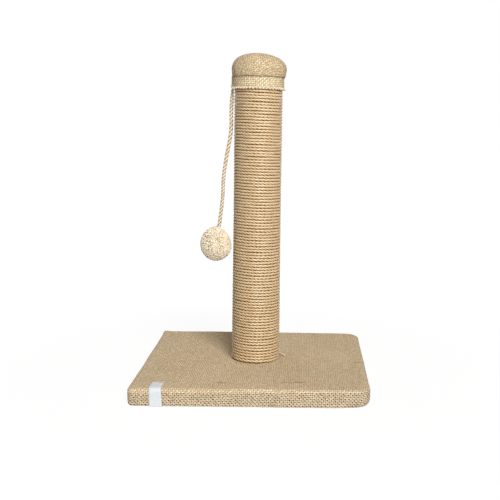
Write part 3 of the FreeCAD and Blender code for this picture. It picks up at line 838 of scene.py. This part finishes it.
pad_profile = [
    (29.0, 411.4), (32.5, 412.2), (34.4, 415.0), (34.6, 419.0), (33.0, 424.6), (29.0, 429.6), (22.0, 433.9),
    (12.0, 436.6), (0.0, 437.6),
]
pad = spun(pad_profile, pad_spokes)
bmesh.ops.contextual_create(pad, geom=[edge for edge in pad.edges if edge.is_boundary])
bmesh.ops.recalc_face_normals(pad, faces=pad.faces)
wadding = Finish(bpy.data.materials.new("white_wadding"))
wad_fluff = wadding.blotches(wadding.place(), 350.0, 5.0)
wadding.surface(
    Base_Color=wadding.mix(wad_fluff, colour(0.78, 0.77, 0.74), colour(0.93, 0.92, 0.90)),
    Roughness=0.9,
    Normal=wadding.bump(wad_fluff, 1.0 * mm),
)
pad_piece = new_piece("cap_wadding", pad, "post", wadding)
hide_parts("cap_pad")


# The cap's cover: a round piece of jute cloth, gathered round the tube's end over the wadding and stapled to
# the tube. The gathers draw its threads together like spokes, with four deeper tucks at the front.
cap_spokes = 192
cap_thickness = 0.9 * mm
cap_profile = [
    (31.0, 399.6), (31.0, 404.5), (31.0, 408.8), (33.8, 409.2), (34.9, 407.9), (35.7, 410.2), (36.4, 415.2),
    (36.7, 418.4), (36.4, 421.8), (35.4, 425.2), (33.5, 428.4), (30.8, 431.3), (27.3, 433.8), (23.0, 435.9),
    (18.2, 437.5), (13.0, 438.7), (7.6, 439.5), (3.0, 439.9), (0.0, 440.0),
]
seam_height = 407.5 * mm
crown_height = 440.0 * mm
# How far each height lies from the crown's middle, measured along the cloth
arc_at = {}
cap_arc = 0.0
for (across, height), (inner, upper) in zip(cap_profile[::-1], [cap_profile[-1]] + cap_profile[:0:-1]):
    cap_arc += math.hypot(inner - across, upper - height) * mm
    arc_at[round(height, 2)] = cap_arc
cap = spun(cap_profile, cap_spokes)
cap_map = cap.loops.layers.uv.new("weave")
for face in cap.faces:
    for loop in face.loops:
        x, y, z = loop.vert.co
        loop[cap_map].uv = Vector((x, y)).normalized() * arc_at[round(z / mm, 2)]
gather_count = 30
gather_width = 0.05
gather_depth = 0.6 * mm
# The deeper tucks, by their azimuth in degrees and how many gathers deep they are
deep_tucks = [(-129, 2.2), (-86, 2.6), (-154, 1.3), (-57, 1.4)]
# The cap sits slightly to the right, and its crown is lumpy, dented and lower on the right.
cap_shift = 0.9 * mm
crown_slope = 0.035
crown_lump = 0.5 * mm
crown_dent = 0.4 * mm


def bell(angle, width):
    """1 at an angle of nothing, and falling off to both sides within about a width."""
    return math.exp(-(math.remainder(angle, full_turn) / width) ** 2)


random.seed(7)
gathers = []
for i in range(gather_count):
    azimuth = i * full_turn / gather_count + random.uniform(-0.07, 0.07)
    gathers.append((azimuth, random.uniform(0.3, 0.9)))
gathers += [(math.radians(azimuth), strength) for azimuth, strength in deep_tucks]
for vertex in cap.verts:
    x, y, z = vertex.co
    around = math.atan2(y, x)
    outwards = Vector((x, y, 0)).normalized()
    rise = (z - seam_height) / (crown_height - seam_height)
    # The lower skirt and the crown's middle stay where they are.
    if rise < 0 or rise > 0.999:
        continue
    drawn = max(0.0, 1.0 - rise / 0.7)
    depth = sum(strength * bell(around - azimuth, gather_width) for azimuth, strength in gathers)
    lump = crown_lump * noise.noise(vertex.co * 55.0) * min(1.0, rise * 3)
    vertex.co += outwards * (lump - gather_depth * depth * drawn * drawn * min(1.0, rise * 12))
    vertex.co.x += cap_shift * min(1.0, rise * 2)
    dent = crown_dent * max(0.0, -noise.noise(vertex.co * 80.0))
    vertex.co.z -= crown_slope * x * min(1.0, rise * 1.2) + dent
# Its gap colour is painted shade between the threads.
cap_jute = jute_cloth(
    "cap_jute", pitch=2.6 * mm, fullness=0.82, pale=colour(1.0, 0.83, 0.54), tan=colour(0.70, 0.50, 0.28),
    gap=colour(0.08, 0.04, 0.015),
)
cap_piece = new_piece("gathered_cap", cap, "post", cap_jute)
solid_cloth(cap_piece, cap_thickness, -1.0)
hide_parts("cap_cover")


# The band: a strip of pale jute webbing, glued round the top of the winding with its ends lapped at the back.
# Its weft turns back in small loops along the lower edge, and it bulges where it covers the cord's end.
band_low = 392.8 * mm
band_high = 408.8 * mm
band_middle = (band_low + band_high) / 2
band_reach = 33.6 * mm
band_thick = 1.2 * mm
lap_start = math.radians(80)
lap_length = math.radians(38)
lap_ramp = math.radians(5)
lap_rise = 1.25 * mm
band_turn = full_turn + lap_length
cord_azimuth = math.pi
cord_bulge = 2.1 * mm
bulge_width = math.radians(8.5)


def on_band(travel, height, out):
    """A place on the band, by the angle from its start, the height and how far it stands off the band."""
    around = lap_start + travel
    way = Vector((math.cos(around), math.sin(around), 0))
    bulge = cord_bulge * bell(around - cord_azimuth, bulge_width)
    upper_layer = max(0.0, min(1.0, (travel - full_turn) / lap_ramp + 1.0))
    ripple = 0.28 * mm * noise.noise(Vector((way.x * 4, way.y * 4, height * 90)))
    rise = 0.3 * mm * noise.noise(way * 5 + Vector((0, 0, 3)))
    reach = band_reach + bulge + lap_rise * upper_layer + ripple + out
    return way * reach + Vector((0, 0, height + rise))


band = bmesh.new()
bmesh.ops.create_grid(band, x_segments=240, y_segments=10, size=0.5)
band_map = band.loops.layers.uv.new("weave")
for face in band.faces:
    for loop in face.loops:
        across, up, _ = loop.vert.co
        loop[band_map].uv = (across * band_turn * band_reach, up * (band_high - band_low))
for vertex in band.verts:
    across, up, _ = vertex.co
    vertex.co = on_band((across + 0.5) * band_turn, band_middle + up * (band_high - band_low), 0.0)
bmesh.ops.recalc_face_normals(band, faces=band.faces)
# Its gap colour is painted shade between the threads.
band_jute = jute_cloth(
    "band_jute", pitch=2.5 * mm, fullness=0.86, pale=colour(1.0, 0.86, 0.585), tan=colour(0.78, 0.58, 0.34),
    gap=colour(0.22, 0.12, 0.05),
)
band_piece = new_piece("jute_band", band, "post", band_jute)
solid_cloth(band_piece, band_thick, 0.0)
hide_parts("cap_band")
# Its groove colour is painted shade between the strands.
weft_jute = twisted_jute(
    "weft_jute", pale=colour(1.0, 0.90, 0.68), tan=colour(0.88, 0.72, 0.48), groove=colour(0.66, 0.48, 0.28),
    length=0.7,
)
weft_thick = 1.7 * mm
weft_lay = 6 * mm
weft_groove = 0.85
loop_pitch = 4.4 * mm
loop_count = int(band_turn * band_reach / loop_pitch)
loop_steps = 12
push_width = math.radians(9)
loops = []
for i in range(loop_count * loop_steps):
    phase = full_turn * i / loop_steps
    travel = (i + 0.5) * band_turn / (loop_count * loop_steps)
    size = 1.0 + 0.4 * noise.noise(Vector((i / loop_steps * 1.7, 0, 0)))
    # The loops are pushed up and in where the cord comes out.
    pushed = bell(lap_start + travel - cord_azimuth, push_width)
    rise = (1.0 + 1.5 * pushed - 1.6 * size * math.cos(phase)) * mm
    out = (0.5 + (1.0 - 0.9 * pushed) * math.cos(phase)) * mm
    loops.append(on_band(travel, band_low + rise, out))
loop_mesh, _ = twisted_rope("weft_loops", loops, weft_thick, weft_lay, weft_groove)
piece_of("weft_loops", loop_mesh, "post", weft_jute)


# The cord: its flattened end is glued under the band, it bends where it leaves the band, hangs down and is
# knotted inside the ball. Three loose strands make it, which bulge past its nominal 4 mm.
cord_over_strands = 5.4 * mm
cord_lay = 15.5 * mm
cord_groove = 0.6
# Its groove colour is painted shade between the strands.
cord_jute = twisted_jute(
    "cord_jute", pale=colour(1.0, 0.90, 0.70), tan=colour(0.80, 0.66, 0.45), groove=colour(0.32, 0.21, 0.10),
    length=185 * mm,
)
cord_line = smooth_line(cord_points, 60)
# It is pinched where it comes out from under the band.
pinched = 0.68
pinch_length = 14 * mm
cord_radii = []
for place in cord_line:
    eased = (1.0 - pinched) * (cord_exit - place).length / pinch_length
    cord_radii.append(min(1.0, pinched + eased))
cord_mesh, cord_length = twisted_rope(
    "hanging_cord", cord_line, cord_over_strands, cord_lay, cord_groove, radii=cord_radii,
)
cord_piece = piece_of("hanging_cord", cord_mesh, "cord", cord_jute)
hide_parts("toy_cord")
# The shoulder is the cord's bend at the band, swollen in its middle.
shoulder_height = 2.8 * mm
shoulder_groove = 0.8
shoulder_line = [cord_exit + Vector((0, 0, shoulder_height * (0.5 - i / 8))) for i in range(9)]
shoulder_mesh, _ = twisted_rope(
    "cord_shoulder", shoulder_line, cord_diameter, cord_lay, shoulder_groove,
    radii=[0.55, 0.85, 1.0, 1.05, 1.05, 1.05, 1.0, 0.85, 0.55],
)
shoulder_piece = piece_of("cord_shoulder", shoulder_mesh, "cord_bend", cord_jute)
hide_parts("cord_bend")
# The glued end reaches down to the bend, and is pressed flat and wide.
fixed_thick = 3.0 * mm
fixed_overlap = 0.8 * mm
pressed_flat = 0.55
pressed_wide = 1.5
fixed_low, fixed_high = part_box("cord_fixed_end")
fixed_x = (fixed_low.x + fixed_high.x) / 2
fixed_foot = fixed_low.z - fixed_overlap
fixed_line = [Vector((fixed_x, 0, fixed_foot + (fixed_high.z - fixed_foot) * i / 16)) for i in range(17)]
fixed_mesh, _ = twisted_rope("glued_cord_end", fixed_line, fixed_thick, cord_lay, cord_groove)
for vertex in fixed_mesh.vertices:
    vertex.co.x = fixed_x + (vertex.co.x - fixed_x) * pressed_flat
    vertex.co.y *= pressed_wide
fixed_piece = piece_of("glued_cord_end", fixed_mesh, "post", cord_jute)
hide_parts("cord_fixed_end")


# The ball: a pom-pom of cream yarn, tied in the middle and clipped round, flattened where it lies near the
# post. Each tuft is a soft yarn end that starts deep in the ball and leans its own way.
ball_width = 44.4 * mm
ball_height = 48.6 * mm
tuft_radius = 0.75 * mm
tuft_count = 3600
# A tuft's points: how far out each lies, and how far it has leaned by then
tuft_bends = ((0.7, 0.0), (0.85, 0.1), (0.95, 0.25), (1.0, 0.45))
# The yarn is darker deep between the tufts.
shadow_depth = 18.8 * mm
lit_depth = 21.2 * mm
ball_way = (cord_points[-1] - cord_points[-2]).normalized()
ball_middle = cord_points[-1] + ball_way * (ball_height / 2)
ball_turn = Vector((0, 0, 1)).rotation_difference(-ball_way)
worn_side = Vector((0.78, 0, 0.62))
worn_flat = 0.14
worn_edge = 0.55
golden_angle = math.pi * (3 - math.sqrt(5))


def on_ball(spoke, out):
    """A place in the ball, by its direction and its share of the way out."""
    flat = 1.0 - worn_flat * max(0.0, spoke.dot(worn_side) - worn_edge) / (1.0 - worn_edge)
    reach = spoke * (ball_width / 2 * out * flat)
    return ball_turn @ Vector((reach.x, reach.y, reach.z * ball_height / ball_width)) + ball_middle


def swirl(spoke, shift):
    """A lean that neighbouring tufts share."""
    return noise.noise(spoke * 2.2 + Vector((shift, 2 * shift, 0)))


random.seed(11)
tufts = curve_object("yarn_ball")
tufts.data.bevel_depth = tuft_radius
tufts.data.bevel_resolution = 0
tufts.data.use_fill_caps = True
tufts.data.resolution_u = 2
for i in range(tuft_count):
    level = 1 - 2 * (i + 0.5) / tuft_count
    across = math.sqrt(1 - level * level)
    spoke = Vector((across * math.cos(i * golden_angle), across * math.sin(i * golden_angle), level))
    lean = Vector([swirl(spoke, shift) * 0.6 + random.gauss(0, 0.25) for shift in (0, 5, 9)])
    lean -= spoke * lean.dot(spoke)
    length = random.uniform(0.97, 1.0)
    line = [on_ball((spoke + lean * bend).normalized(), out * length) for out, bend in tuft_bends]
    add_line(tufts, "NURBS", line, [1.0, 1.0, 0.9, 0.5])
yarn = Finish(bpy.data.materials.new("cream_yarn"))
yarn_clumps = yarn.blotches(yarn.place(), 160.0, 2.0)
yarn_fibres = yarn.blotches(yarn.place(), 900.0, 3.0)
yarn_tone = yarn.smooth(0.5 * yarn_clumps + 0.5 * yarn_fibres, 0.3, 0.7)
yarn_pale = yarn.mix(yarn_tone, colour(0.94, 0.81, 0.62), colour(0.99, 0.94, 0.80))
from_middle = {0: yarn.place(), 1: ball_middle}
yarn_out = yarn.node("ShaderNodeVectorMath", {"operation": "DISTANCE"}, from_middle, out=1)
yarn.surface(
    Base_Color=yarn.mix(yarn.smooth(yarn_out, shadow_depth, lit_depth), colour(0.90, 0.76, 0.56), yarn_pale),
    Roughness=0.8 + 0.1 * yarn_fibres,
    Normal=yarn.bump(yarn_fibres, 0.2 * mm, 0.3),
    Specular_IOR_Level=0.2,
)
tuft_piece = piece_of("yarn_ball", meshed(tufts), "pompom", yarn)
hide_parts("pompom")
core = bmesh.new()
bmesh.ops.create_icosphere(core, subdivisions=4, radius=1.0)
for vertex in core.verts:
    vertex.co = on_ball(vertex.co.normalized(), 0.84 + 0.04 * noise.noise(vertex.co * 6))
new_piece("yarn_core", core, "pompom", yarn)
# The cord runs on into the ball and ends in its knot at the middle.
knot_line = [cord_points[-1] + ball_way * (ball_height / 2 * i / 20) for i in range(21)]
knot_radii = [1.0] * 16 + [1.3, 1.7, 1.8, 1.5, 0.8]
knot_mesh, _ = twisted_rope("cord_knot", knot_line, cord_diameter, cord_lay, cord_groove, radii=knot_radii)
knot_piece = piece_of("cord_knot", knot_mesh, "cord", cord_jute)
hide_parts("cord_end_knot")
